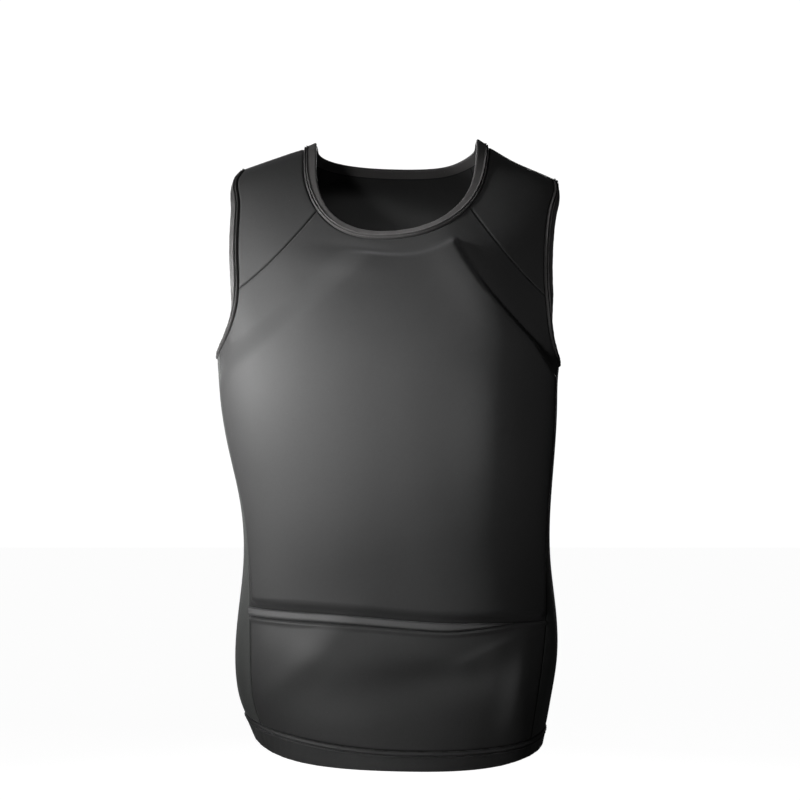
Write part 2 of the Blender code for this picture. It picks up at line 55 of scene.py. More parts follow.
# Level sections, top to bottom
Section = namedtuple("Section", "z shift half_width front back squareness")
SECTIONS = (
    Section(0.012, 0.000, 0.062, 0.022, 0.022, 2.10),
    Section(-0.005, 0.001, 0.104, 0.031, 0.033, 2.10),
    Section(-0.022, 0.001, 0.148, 0.039, 0.045, 2.12),
    Section(-0.038, 0.000, 0.184, 0.046, 0.056, 2.15),
    Section(-0.060, -0.001, 0.199, 0.056, 0.070, 2.18),
    Section(-0.090, -0.003, 0.204, 0.068, 0.084, 2.22),
    Section(-0.130, -0.004, 0.203, 0.085, 0.096, 2.28),
    Section(-0.175, -0.003, 0.197, 0.102, 0.104, 2.34),
    Section(-0.224, -0.007, 0.185, 0.114, 0.106, 2.40),
    Section(-0.275, -0.007, 0.181, 0.118, 0.101, 2.42),
    Section(-0.330, -0.004, 0.175, 0.116, 0.092, 2.40),
    Section(-0.385, 0.000, 0.167, 0.111, 0.085, 2.36),
    Section(-0.440, 0.002, 0.165, 0.107, 0.084, 2.32),
    Section(-0.495, 0.003, 0.170, 0.107, 0.091, 2.30),
    Section(-0.545, 0.001, 0.173, 0.110, 0.099, 2.30),
    Section(-0.590, -0.001, 0.168, 0.110, 0.103, 2.30),
    Section(-0.630, 0.001, 0.158, 0.108, 0.102, 2.26),
    Section(-0.665, 0.004, 0.144, 0.106, 0.100, 2.22),
)
LEFT_DROP = 0.022
NECK_RISE = 0.0070
NECK_RISE_X = 0.092
NECK_RISE_HALF_WIDTH = 0.026
NECK_RISE_HEIGHTS = (-0.045, -0.008)

# Level lines that slant, as in the part
Slant = namedtuple("Slant", "z reach height from_x to_x")
SLANTS = (
    Slant(-0.500, 0.050, 0.0070, 0.068, -0.085),
    Slant(-0.630, 0.030, 0.0085, 0.015, -0.150),
)

# Folds of the front: broad ones, then finer ones
Fold = namedtuple("Fold", "x z along across turn rise")
FOLDS = (
    Fold(0.050, -0.524, 0.080, 0.016, -4.0, -0.0035),
    Fold(-0.078, -0.541, 0.045, 0.026, 0.0, 0.0045),
    Fold(0.136, -0.535, 0.036, 0.012, 82.0, 0.0030),
    Fold(0.112, -0.575, 0.050, 0.014, 76.0, -0.0020),
    Fold(-0.020, -0.600, 0.060, 0.020, 8.0, 0.0015),
    Fold(-0.044, -0.117, 0.034, 0.0065, -6.0, -0.0022),
    Fold(-0.172, -0.242, 0.024, 0.010, 90.0, 0.0018),
    Fold(0.052, -0.555, 0.070, 0.021, 5.0, -0.0100),
    Fold(0.030, -0.588, 0.090, 0.030, 0.0, -0.0040),
    Fold(0.160, -0.146, 0.075, 0.044, 58.0, -0.0130),
    Fold(-0.158, -0.148, 0.075, 0.044, -58.0, -0.0070),
    Fold(0.112, -0.300, 0.120, 0.042, 90.0, 0.0085),
    Fold(0.090, -0.150, 0.080, 0.030, -53.0, 0.0080),
    Fold(-0.045, -0.136, 0.045, 0.013, -4.0, 0.0024),
    Fold(0.010, -0.472, 0.120, 0.058, 6.0, -0.0075),
    Fold(0.138, -0.586, 0.050, 0.030, 90.0, 0.0180),
    Fold(-0.093, -0.545, 0.065, 0.014, 42.0, 0.0030),
)

# Creases of the front: a line, its width on the left and on the right of it, and its rise
Crease = namedtuple("Crease", "x0 z0 x1 z1 left right rise")
CREASES = (
    Crease(0.074, -0.539, 0.128, -0.514, 0.006, 0.016, 0.0016),
    Crease(0.141, -0.564, 0.139, -0.602, 0.008, 0.007, -0.0026),
    Crease(-0.1635, -0.207, -0.1650, -0.215, 0.0025, 0.0035, -0.0010),
)

# Folds of the back, which the photograph doesn't show: the slack over the small of the back
BACK_FOLDS = (
    Fold(-0.040, -0.400, 0.090, 0.014, 12.0, 0.0018),
    Fold(0.055, -0.432, 0.080, 0.016, -10.0, 0.0020),
    Fold(0.000, -0.470, 0.100, 0.018, 3.0, -0.0015),
    Fold(-0.090, -0.520, 0.050, 0.020, 60.0, 0.0018),
    Fold(0.095, -0.560, 0.050, 0.018, -66.0, 0.0018),
)

# Neck seam
NECK_TOP = -0.005
NECK_HALF_WIDTH = 0.0990
NECK_DROP_FRONT = 0.101
NECK_DROP_BACK = 0.022
NECK_SQUARENESS = 2.3
NECK_SKEW = 0.004
YOKE_TURN_FRONT = 50.0
YOKE_TURN_BACK = 128.0

# Armhole seam. Its top is raised and rounded a little more than the part's, by side
ARMHOLE_MIDDLE = -0.1345
ARMHOLE_HALF_HEIGHT = 0.100
ARMHOLE_TOP_RISE_LEFT = 0.0035
ARMHOLE_TOP_RISE_RIGHT = 0.0065
ARMHOLE_SPAN_FRONT = 40.5
ARMHOLE_SPAN_BACK = 38.0
ARMHOLE_SQUARENESS_TOP = 3.3
ARMHOLE_SQUARENESS_BOTTOM = 2.4
YOKE_TURN_ARM = 75.0
YOKE_SAG = 0.006

# Side seams
SideSeam = namedtuple("SideSeam", "z spread")
SIDE_SEAMS = (
    SideSeam(-0.200, 17.5),
    SideSeam(-0.300, 20.0),
    SideSeam(-0.400, 20.5),
    SideSeam(-0.460, 23.5),
    SideSeam(-0.500, 28.0),
    SideSeam(-0.545, 32.0),
    SideSeam(-0.590, 32.5),
    SideSeam(-0.665, 30.5),
)

# Welt and hem
WELT_TOP = -0.500
WELT_HEIGHT = 0.0085
WELT_TIP_HEIGHT = 0.0008
WELT_TAPER = (0.25, 0.67)
WELT_END = 20 / 24
HEM_SEAM = -0.630
HEM_HEIGHT = 0.0205
HEM_SIDE_RISE = 0.013

# The part's shares of each edge: where a yoke seam meets the neck, and the side seams' corners
NECK_SHARE = 5 / 24
FRONT_CORNER = 14 / 22
BACK_CORNER = 21 / 29
BACK_WELT = 7 / 29
SIDE_WELT = 7 / 21

# Soft armour behind the cloth: how far it lifts it, and for each of its edges how far it lies
# inside the seam and the width over which the cloth falls off it
ARMOUR_THICKNESS = 0.0068
ARMOUR_BELOW_NECK = 0.012
ARMOUR_NECK_EDGE = 0.013
ARMOUR_SIDE = 0.003
ARMOUR_SIDE_EDGE = 0.018
ARMOUR_BOTTOM = -0.4990
ARMOUR_BOTTOM_EDGE = 0.010
Corner = namedtuple("Corner", "front side x_neck z_neck x_arm z_arm bulge edge")
ARMOUR_CORNERS = (
    Corner(True, -1, 0.040, -0.104, 0.156, -0.210, 0.000, 0.034),
    Corner(True, 1, 0.068, -0.103, 0.151, -0.208, 0.007, 0.009),
    Corner(False, -1, 0.080, -0.040, 0.166, -0.150, 0.000, 0.020),
    Corner(False, 1, 0.080, -0.040, 0.166, -0.150, 0.000, 0.020),
)

# Bindings and the hem
NECK_BAND = 0.0105
NECK_TURN_FRONT = -24.0
NECK_TURN_SHOULDER = 4.0
NECK_TURN_BACK = 12.0
NECK_SHOULDER_EXTRA = 0.0040
ARM_BAND = 0.0105
ARM_TURN_SHOULDER = -72.0
ARM_TURN_FRONT = -4.0
ARM_TURN_LOW = -50.0
BAND_PROUD = 0.0010
WELT_PROUD = 0.0026
LIP_RISE = 0.0016
LIP_BELOW = 0.0030
LIP_HALF_WIDTH = 0.0018
HEM_PROUD = 0.0009

# Beads and grooves along a band: how far off the seam, half width, height
Bead = namedtuple("Bead", "across half_width height")
NECK_BEADS = (
    Bead(0.0014, 0.0006, 0.0011),
    Bead(0.0026, 0.0005, -0.0012),
    Bead(0.0038, 0.0007, 0.0012),
)
ARM_BEADS = (
    Bead(0.0016, 0.0007, 0.0009),
    Bead(0.0030, 0.0006, -0.0011),
    Bead(0.0044, 0.0008, 0.0010),
)
HEM_BEADS = (
    Bead(0.0030, 0.0010, 0.0007),
    Bead(0.0049, 0.0006, -0.0008),
    Bead(0.0062, 0.0008, 0.0005),
)

# How the cloth turns in at a seam: depth, reach, and the grid's steps beside it
SEAM_DEPTH = 0.0010
SEAM_REACH = 0.0013
SEAM_STEPS = (0.0, 0.0003, 0.0006, 0.0010, 0.0015, 0.0022, 0.0032, 0.0046)

# Puckers beside a seam: height, how fast they fade away from it, and how far off it they start
PUCKER = 0.00012
PUCKER_FADE = 0.009
PUCKER_START = 0.003

# How far a seam's shade reaches on the cloth, and beside a band's edge
SHADE_REACH = 0.0011
BAND_SHADE_REACH = 0.0008

# A band's mesh: points over its inside and its round edge, and the step over its outside
BAND_INNER_STEPS = 7
BAND_EDGE_STEPS = 13
BAND_STEP = 0.0003

# The shares of a band's width over which it widens on the shoulders
WIDER_FROM = 0.45
WIDER_OVER = 0.5

# The shares of the armhole's half height over which its band turns to the shoulder's, at the front
# and at the back, and the turns from its lowest point over which it rolls in below the arm
ARM_TURN_RISE_FRONT = (0.70, 0.25)
ARM_TURN_RISE_BACK = (0.30, 0.40)
ARM_LOW_TURN = 82
ARM_LOW_TURN_WIDTH = 22

# Waves of an uneven seam: their lengths and shares
Wave = namedtuple("Wave", "length height")
SEAM_WAVES = (Wave(0.0121, 0.9), Wave(0.0193, 1.0), Wave(0.0317, 0.8), Wave(0.0081, 0.4))
BAND_WAVES = (Wave(0.021, 0.00012), Wave(0.0087, 0.00010))

LEFT, RIGHT = 1, -1


def spline(xs, ys):
    """A natural cubic spline through the points, as a function of an array."""
    xs, ys = np.array(xs, float), np.array(ys, float)
    order = np.argsort(xs)
    xs, ys = xs[order], ys[order]
    step = np.diff(xs)
    count = len(xs)
    matrix, rhs = np.eye(count), np.zeros(count)
    for i in range(1, count - 1):
        matrix[i, i - 1 : i + 2] = step[i - 1], 2 * (step[i - 1] + step[i]), step[i]
        rhs[i] = 6 * ((ys[i + 1] - ys[i]) / step[i] - (ys[i] - ys[i - 1]) / step[i - 1])
    bend = np.linalg.solve(matrix, rhs)

    def value(x):
        i = np.clip(np.searchsorted(xs, x) - 1, 0, count - 2)
        a, b = xs[i + 1] - x, x - xs[i]
        return (
            (bend[i] * a**3 + bend[i + 1] * b**3) / (6 * step[i])
            + (ys[i] / step[i] - bend[i] * step[i] / 6) * a
            + (ys[i + 1] / step[i] - bend[i + 1] * step[i] / 6) * b
        )

    return value


def column(table, name):
    return spline([row.z for row in table], [getattr(row, name) for row in table])


SHIFT = column(SECTIONS, "shift")
HALF_WIDTH = column(SECTIONS, "half_width")
FRONT = column(SECTIONS, "front")
BACK = column(SECTIONS, "back")
SQUARENESS = column(SECTIONS, "squareness")
SIDE_SPREAD = column(SIDE_SEAMS, "spread")


def unit(vectors):
    return vectors / np.maximum(np.linalg.norm(vectors, axis=-1, keepdims=True), 1e-12)


def bell(x):
    return np.exp(-x * x)


def run_along(points):
    """How far along a line each of its points lies."""
    return np.pad(np.cumsum(np.linalg.norm(np.diff(points, axis=0), axis=1)), (1, 0))


def smooth(share):
    share = np.clip(share, 0, 1)
    return share * share * (3 - 2 * share)


def centred(angle, middle):
    """The same angles, counted so that they lie within half a turn of the middle."""
    return middle + (angle - middle + 180) % 360 - 180


def ellipse_point(degrees, squareness):
    """(sine side, cosine side) of a unit superellipse at that direction."""
    s, c = np.sin(np.radians(degrees)), np.cos(np.radians(degrees))
    reach = (np.abs(s) ** squareness + np.abs(c) ** squareness) ** (-1 / squareness)
    return s * reach, c * reach


def fold_rise(fold, x, z):
    cosine, sine = math.cos(math.radians(fold.turn)), math.sin(math.radians(fold.turn))
    across, up = x - fold.x, z - fold.z
    long_way = (across * cosine + up * sine) / fold.along
    short_way = (up * cosine - across * sine) / fold.across
    return fold.rise * np.exp(-long_way * long_way - short_way * short_way)


def crease_rise(crease, x, z):
    along = np.array((crease.x1 - crease.x0, crease.z1 - crease.z0))
    length = float(np.hypot(*along))
    along /= length
    run = (x - crease.x0) * along[0] + (z - crease.z0) * along[1]
    off = (z - crease.z0) * along[0] - (x - crease.x0) * along[1]
    width = np.where(off > 0, crease.left, crease.right)
    past = np.maximum(np.maximum(-run, run - length), 0) / max(crease.left, crease.right)
    return crease.rise * np.exp(-((off / width) ** 2) - past * past)


def neck_rise(x, z):
    low, high = NECK_RISE_HEIGHTS
    off = (x - NECK_RISE_X) / NECK_RISE_HALF_WIDTH
    return NECK_RISE * smooth((z - low) / (high - low)) * bell(off)


def slant(x, z):
    total = 0.0
    for row in SLANTS:
        share = smooth((x - row.from_x) / (row.to_x - row.from_x))
        total = total + row.height * share * bell((z - row.z) / row.reach)
    return total


def skin(angle, z):
    """The skin's points at those angles and heights."""
    s, c = ellipse_point(angle, SQUARENESS(z))
    x = SHIFT(z) + HALF_WIDTH(z) * s
    y = -c * np.where(c > 0, FRONT(z), BACK(z))
    ahead = sum(fold_rise(fold, x, z) for fold in FOLDS)
    ahead = ahead + sum(crease_rise(crease, x, z) for crease in CREASES)
    behind = sum(fold_rise(fold, x, z) for fold in BACK_FOLDS)
    y = y - np.maximum(c, 0) * ahead + np.maximum(-c, 0) * behind
    return np.stack((x, y, z - LEFT_DROP * x + neck_rise(x, z) + slant(x, z)), -1)


def outward(angle, z):
    """The skin's unit normals."""
    turn, rise = 0.15, 0.0005
    round_it = skin(angle + turn, z) - skin(angle - turn, z)
    up = skin(angle, z + rise) - skin(angle, z - rise)
    return unit(np.cross(round_it, up))


def angle_at(x, z, front):
    squareness = SQUARENESS(z)
    s = np.clip((x - SHIFT(z)) / HALF_WIDTH(z), -1, 1)
    c = (1 - np.abs(s) ** squareness) ** (1 / squareness)
    return np.degrees(np.arctan2(s, np.where(front, c, -c))) % 360


def flat(places):
    """The x and z of places, as seen from the front, before the skin's slant."""
    angle, z = places[..., 0], places[..., 1]
    s, _ = ellipse_point(angle, SQUARENESS(z))
    return np.stack((SHIFT(z) + HALF_WIDTH(z) * s, z), -1)


def neck_places(turn):
    s, c = ellipse_point(turn, NECK_SQUARENESS)
    z = NECK_TOP - np.abs(c) * np.where(c > 0, NECK_DROP_FRONT, NECK_DROP_BACK)
    z = z + np.where(c > 0, NECK_SKEW * np.sin(np.radians(2 * turn)), 0)
    return np.stack((angle_at(NECK_HALF_WIDTH * s + SHIFT(z), z, c > 0), z), -1)


def armhole_places(turn, side):
    low = np.cos(np.radians(turn)) > 0
    squareness = np.where(low, ARMHOLE_SQUARENESS_BOTTOM, ARMHOLE_SQUARENESS_TOP)
    s, c = ellipse_point(turn, squareness)
    span = np.where(s > 0, ARMHOLE_SPAN_FRONT, ARMHOLE_SPAN_BACK)
    rise = ARMHOLE_TOP_RISE_LEFT if side == LEFT else ARMHOLE_TOP_RISE_RIGHT
    half_height = np.where(low, ARMHOLE_HALF_HEIGHT, ARMHOLE_HALF_HEIGHT + rise)
    return np.stack((side * (90 - span * s), ARMHOLE_MIDDLE - half_height * c), -1)


def yoke_seam(side, front, share):
    """Places down a yoke seam: share is 0 at the neck and 1 at the armhole."""
    neck_turn = YOKE_TURN_FRONT if front else YOKE_TURN_BACK
    arm_turn = YOKE_TURN_ARM if front else 360 - YOKE_TURN_ARM
    x0, z0 = flat(neck_places(np.array(side * neck_turn)))
    x1, z1 = flat(armhole_places(np.array(arm_turn), side))
    x = x0 + (x1 - x0) * share
    z = z0 + (z1 - z0) * share - 4 * YOKE_SAG * share * (1 - share)
    return np.stack((angle_at(x, z, front), z), -1)


def hem_height(angle, z):
    share = (z - WELT_TOP) / (HEM_SEAM - WELT_TOP)
    return z + HEM_SIDE_RISE * share * np.sin(np.radians(angle)) ** 4


def hem_line(start, end, share):
    angle = start + (end - start) * share
    return np.stack((angle, hem_height(angle, HEM_SEAM)), -1)


def armhole_corner(front):
    share = SIDE_SEAMS[0].spread / (ARMHOLE_SPAN_FRONT if front else ARMHOLE_SPAN_BACK)
    power = ARMHOLE_SQUARENESS_BOTTOM
    return math.degrees(math.atan2(share, (1 - share**power) ** (1 / power)))


def seam_ends(front):
    """The heights at which a side seam meets the hem seam and the armhole seam."""
    off = SIDE_SPREAD(HEM_SEAM) * (1 if front else -1)
    top = armhole_places(np.array(armhole_corner(front)), LEFT)[1]
    return float(hem_height(90 - off, HEM_SEAM)), float(top)


def side_seam(side, front, z):
    off = 1 if front else -1
    return np.stack((side * (90 - off * SIDE_SPREAD(z)), z), -1)


def face_edge(side, front, share):
    """A side of the front or the back from the bottom up: a side seam, then the armhole."""
    low, high = seam_ends(front)
    corner = FRONT_CORNER if front else BACK_CORNER
    if front:
        z = np.interp(share, (0, corner), (WELT_TOP, high))
    else:
        z = np.interp(share, (0, BACK_WELT, corner), (low, WELT_TOP, high))
    seam = side_seam(side, front, z)
    turn = np.interp(share, (corner, 1), (armhole_corner(front), YOKE_TURN_ARM))
    armhole = armhole_places(turn if front else 360 - turn, side)
    places = np.where((share < corner)[:, None], seam, armhole)
    places[:, 0] = centred(places[:, 0], 0 if front else 180)
    return places


def top_edge(front, share):
    """The upper edge of the front or the back: a yoke seam, the neck seam, a yoke seam."""
    near_side = RIGHT if front else LEFT
    rising = yoke_seam(near_side, front, np.clip(1 - share / NECK_SHARE, 0, 1))
    falling = yoke_seam(-near_side, front, np.clip(1 - (1 - share) / NECK_SHARE, 0, 1))
    across = np.clip((share - NECK_SHARE) / (1 - 2 * NECK_SHARE), 0, 1)
    start = -YOKE_TURN_FRONT if front else YOKE_TURN_BACK
    end = YOKE_TURN_FRONT if front else 360 - YOKE_TURN_BACK
    neck = neck_places(start + (end - start) * across)
    ends = (share < NECK_SHARE)[:, None], (share > 1 - NECK_SHARE)[:, None]
    places = np.where(ends[0], rising, np.where(ends[1], falling, neck))
    places[:, 0] = centred(places[:, 0], 0 if front else 180)
    return places


def mouth_line(share):
    end = 90 - SIDE_SPREAD(WELT_TOP)
    angle = -end + 2 * end * share
    return np.stack((angle, np.full_like(angle, WELT_TOP)), -1)


def welt_height(angle):
    share, _ = ellipse_point(angle, SQUARENESS(WELT_TOP))
    start, end = WELT_TAPER
    taper = np.clip((share - start) / (end - start), 0, 1)
    return WELT_HEIGHT + (WELT_TIP_HEIGHT - WELT_HEIGHT) * taper**1.5


def welt_foot(share):
    end = 90 - SIDE_SPREAD(WELT_TOP)
    angle = mouth_line(share)[:, 0]
    fade = smooth((WELT_END + 0.02 - share) / 0.02)
    z = WELT_TOP - welt_height(angle) * fade
    angle = np.where(angle < 0, angle * (90 - SIDE_SPREAD(z)) / end, angle)
    return np.stack((angle, z), -1)


def shares(length, count, corners=()):
    """Shares along an edge of that length, closer together near both its ends."""
    near = np.array(SEAM_STEPS) / length
    middle = np.linspace(near[-1], 1 - near[-1], count)
    found = np.unique(np.concatenate((near, middle, 1 - near, corners)))
    return found[np.concatenate(([True], np.diff(found) > 1e-6))]


def patch(bottom, top, left, right, u, v):
    """A grid of places between four edges, by transfinite interpolation."""
    u, v = u[None, :, None], v[:, None, None]
    corners = (
        (1 - u) * (1 - v) * bottom[0]
        + u * (1 - v) * bottom[-1]
        + (1 - u) * v * top[0]
        + u * v * top[-1]
    )
    rows = (1 - v) * bottom[None] + v * top[None]
    return rows + (1 - u) * left[:, None] + u * right[:, None] - corners


def face_patch(bottom, top, left, right, u, v, front):
    grid = patch(flat(bottom), flat(top), flat(left), flat(right), u, v)
    x, z = grid[..., 0], grid[..., 1]
    middle = 0 if front else 180
    return np.stack((centred(angle_at(x, z, front), middle), z), -1)


def armour(angle, z):
    """How far the armour behind it lifts the cloth."""
    s, c = ellipse_point(angle, SQUARENESS(z))
    x = HALF_WIDTH(z) * s
    share = np.minimum(1, np.abs(x) / NECK_HALF_WIDTH)
    scoop = (1 - share**NECK_SQUARENESS) ** (1 / NECK_SQUARENESS)
    drop = np.where(c > 0, NECK_DROP_FRONT, NECK_DROP_BACK)
    below_neck = NECK_TOP - drop * scoop - ARMOUR_BELOW_NECK - z
    corner_share = np.ones_like(x)
    for row in ARMOUR_CORNERS:
        across, down = row.x_arm - row.x_neck, row.z_arm - row.z_neck
        inside = (row.side * x - row.x_neck) * down - (z - row.z_neck) * across
        share = ((row.side * x - row.x_neck) * across + (z - row.z_neck) * down) / (across**2 + down**2)
        inside = inside / math.hypot(across, down) - row.bulge * np.sin(math.pi * np.clip(share, 0, 1))
        inside = inside / row.edge
        here = (row.side * x > 0) & ((c > 0) == row.front)
        corner_share = np.where(here, smooth(inside), corner_share)
    off_side = np.abs(np.abs(centred(angle, 0)) - 90) - SIDE_SPREAD(z)
    inside_side = np.radians(off_side) * HALF_WIDTH(z) - ARMOUR_SIDE
    return (
        ARMOUR_THICKNESS
        * smooth(below_neck / ARMOUR_NECK_EDGE)
        * corner_share
        * smooth(inside_side / ARMOUR_SIDE_EDGE)
        * smooth((z - ARMOUR_BOTTOM) / ARMOUR_BOTTOM_EDGE)
    )


def grid_runs(points):
    """Distances along a grid's rows from the left and right, and along its columns from the
    bottom and top."""
    across = np.linalg.norm(np.diff(points, axis=1), axis=2)
    up = np.linalg.norm(np.diff(points, axis=0), axis=2)
    from_left = np.pad(np.cumsum(across, axis=1), ((0, 0), (1, 0)))
    from_bottom = np.pad(np.cumsum(up, axis=0), ((1, 0), (0, 0)))
    return from_left, from_left[:, -1:] - from_left, from_bottom, from_bottom[-1:] - from_bottom


def ripple(run, seed):
    """An uneven wave along a seam, about from -1 to 1."""
    total = 0
    for k, wave in enumerate(SEAM_WAVES):
        total = total + wave.height * np.sin(2 * math.pi * run / wave.length + seed * 1.7 + k * 2.1)
    return total / 3


def panel(name, places, look, lift=None, pucker=PUCKER, seed=1, depth=SEAM_DEPTH):
    """A wall over a grid of places. Its outside is lifted, turns in at its seams and puckers
    beside them, and its inside is plain."""
    angle, z = places[..., 0], places[..., 1]
    points, normals = skin(angle, z), outward(angle, z)
    runs = grid_runs(points)
    nearest = np.minimum.reduce(runs)
    raised = np.zeros_like(z) if lift is None else lift
    turned_in = depth * bell(nearest / SEAM_REACH)
    fades = [np.exp(-run / PUCKER_FADE) for run in runs]
    waves = ripple(runs[2], seed) * (fades[0] + fades[1])
    waves += ripple(runs[0], seed + 3) * (fades[2] + fades[3])
    waves *= 1 - bell(nearest / PUCKER_START)
    outside = points + normals * (raised - turned_in + pucker * waves)[..., None]
    inside = points - normals * WALL
    draw_in(outside, normals)
    draw_in(inside, normals)
    rows, columns = z.shape
    vertices = np.concatenate((outside.reshape(-1, 3), inside.reshape(-1, 3)))
    index = np.arange(rows * columns).reshape(rows, columns)
    square = (index[:-1, :-1], index[:-1, 1:], index[1:, 1:], index[1:, :-1])
    front_faces = np.stack(square, -1).reshape(-1, 4)
    back_faces = np.stack(square[::-1], -1).reshape(-1, 4) + rows * columns
    loop = np.concatenate((index[0, :-1], index[:-1, -1], index[-1, :0:-1], index[:0:-1, 0]))
    after = np.roll(loop, -1)
    rim = np.stack((after, loop, loop + rows * columns, after + rows * columns), -1)
    across = runs[0] - runs[0].mean(1, keepdims=True)
    cut = np.stack((across, runs[2]), -1).reshape(-1, 2)
    # How much painted shade the colour takes near a seam
    near_seam = bell(nearest / SHADE_REACH).reshape(-1)
    return solid(
        name,
        vertices,
        np.concatenate((front_faces, back_faces, rim)),
        knit(name, look),
        np.concatenate((cut, cut)),
        np.concatenate((near_seam, near_seam)),
    )


def draw_in(points, normals):
    """Moves a grid's border in by half the gap, so that neighbours clear."""
    up = unit(np.gradient(points, axis=0))
    along = unit(np.gradient(points, axis=1))
    half = GAP / 2
    moves = np.zeros_like(points)
    moves[:, 0] += unit(np.cross(up[:, 0], normals[:, 0])) * half
    moves[:, -1] -= unit(np.cross(up[:, -1], normals[:, -1])) * half
    moves[0] += unit(np.cross(normals[0], along[0])) * half
    moves[-1] -= unit(np.cross(normals[-1], along[-1])) * half
    points += moves


def add_object(name, data):
    thing = bpy.data.objects.new(name, data)
    bpy.context.scene.collection.objects.link(thing)
    return thing


def solid(name, vertices, faces, material, cut, near_seam):
    """A smooth mesh object with its cut's coordinates and its nearness to a seam."""
    mesh = bpy.data.meshes.new(name)
    mesh.from_pydata(vertices.tolist(), [], faces.tolist())
    mesh.update()
    corner = np.zeros(len(mesh.loops), np.int32)
    mesh.loops.foreach_get("vertex_index", corner)
    layer = mesh.uv_layers.new(name="cut")
    layer.data.foreach_set("uv", cut[corner].astype(np.float32).ravel())
    attribute = mesh.attributes.new("near_seam", "FLOAT", "POINT")
    attribute.data.foreach_set("value", near_seam.astype(np.float32))
    mesh.shade_smooth()
    mesh.set_sharp_from_angle(angle=math.radians(55))
    mesh.materials.append(material)
    return add_object(name, mesh)


def beads_height(beads, across):
    return sum(b.height * bell((across - b.across) / b.half_width) for b in beads)


def band_profile(form):
    """A band's outline as (across, outwards) pairs, and how near each is to a seam or groove, which
    sets its painted shade: the inside, the round edge, then the outside back to the seam."""
    radius, proud, beads = form.thickness / 2, form.proud, form.beads
    reach = form.width - radius
    outline = [(a, proud - form.thickness, 0.0) for a in np.linspace(GAP / 2, reach, BAND_INNER_STEPS)]
    for degrees in np.linspace(-90, 90, BAND_EDGE_STEPS)[1:-1]:
        turned = math.radians(degrees)
        across = reach + radius * math.cos(turned)
        outline.append((across, proud - radius + radius * math.sin(turned), 0.0))
    fine = np.concatenate((SEAM_STEPS[1:5], np.arange(0.0018, reach, BAND_STEP), (reach,)))
    for across in fine[::-1]:
        dip = SEAM_DEPTH * bell(across / SEAM_REACH)
        out = proud - dip + float(beads_height(beads, across))
        groove = sum(bell((across - b.across) / b.half_width) for b in beads if b.height < 0)
        # Painted shade near the seam and in the grooves between the beads
        near = bell(across / BAND_SHADE_REACH) + 0.8 * groove
        outline.append((max(across, GAP / 2), out, near))
    return np.array(outline)


def even(places_at, count):
    """Closed runs of turns, evenly spaced along the skin."""
    turns = np.linspace(0, 360, 3601)
    places = places_at(turns)
    points = skin(places[:, 0], places[:, 1])
    run = run_along(points)
    return np.interp(np.linspace(0, run[-1], count + 1)[:-1], run, turns)


def curled(across, out, curvature):
    """Points of a flat band once the band is rolled up with those curvatures."""
    curvature = np.where(np.abs(curvature) < 1e-6, 1e-6, curvature)
    turned = curvature * across
    middle = 1 / curvature - out
    return middle * np.sin(turned), 1 / curvature - middle * np.cos(turned)


Band = namedtuple("Band", "points across normals curvature width extra")


def eased(directions, turns=40):
    """Directions round a closed line, evened out so that a band takes its corners softly."""
    for _ in range(turns):
        directions = (np.roll(directions, 1, 0) + 2 * directions + np.roll(directions, -1, 0)) / 4
    return unit(directions)


def band_frame(places, bend, width, extra=0.0):
    points = skin(places[:, 0], places[:, 1])
    normals = eased(outward(places[:, 0], places[:, 1]))
    along = eased(np.roll(points, -1, 0) - np.roll(points, 1, 0), 12)
    across = unit(np.cross(normals, along))
    extra = np.broadcast_to(extra, len(points))
    return Band(points, across, normals, np.radians(bend) / width, width, extra)


def on_band(band, across, out):
    """Points on a band, for every place round it and every pair of the profile."""
    wider = band.extra[:, None] * smooth((across[None] / band.width - WIDER_FROM) / WIDER_OVER)
    reach, rise = curled(across[None] + wider, out[None], band.curvature[:, None])
    return (
        band.points[:, None]
        + band.across[:, None] * reach[..., None]
        + band.normals[:, None] * rise[..., None]
    )


def ring(name, band, form, seed):
    """A band of that form, swept round a closed seam."""
    profile = band_profile(form)
    count, size = len(band.points), len(profile)
    run = run_along(band.points)
    length = run[-1] + np.linalg.norm(band.points[0] - band.points[-1])
    wave = 0
    for k, row in enumerate(BAND_WAVES, start=1):
        times = round(length / row.length)
        wave = wave + row.height * np.sin(2 * math.pi * run / length * times + seed * k)
    vertices = on_band(band, profile[:, 0], profile[:, 1])
    outer = np.clip(profile[:, 0] / 0.003, 0, 1) * (profile[:, 1] > 0)
    vertices = vertices + band.normals[:, None] * (wave[:, None] * outer[None])[..., None]
    index = np.arange(count * size).reshape(count, size)
    after, beside = np.roll(index, -1, 0), np.roll(index, -1, 1)
    both = np.roll(after, -1, 1)
    faces = np.stack((beside, both, after, index), -1).reshape(-1, 4)
    step = run_along(profile[:, :2])
    cut = np.stack(np.broadcast_arrays(run[:, None], step[None]), -1).reshape(-1, 2)
    near_seam = np.broadcast_to(profile[:, 2][None], (count, size)).reshape(-1)
    return solid(name, vertices.reshape(-1, 3), faces, knit(name, form.look), cut, near_seam)


# A stitch, and its form from end to end: place along its half length, girth, and height over the
# cloth in radii
Stitch = namedtuple("Stitch", "pitch length radius slant")
TOPSTITCH = Stitch(0.0027, 0.0021, 0.00020, 0.0)
OVERLOCK = Stitch(0.0012, 0.0017, 0.00018, 60.0)
StitchRing = namedtuple("StitchRing", "place girth lift")
STITCH_RINGS = (
    StitchRing(-1.0, 0.35, -0.9),
    StitchRing(-0.55, 0.95, 0.25),
    StitchRing(0.55, 0.95, 0.25),
    StitchRing(1.0, 0.35, -0.9),
)
STITCH_SIDES = 6


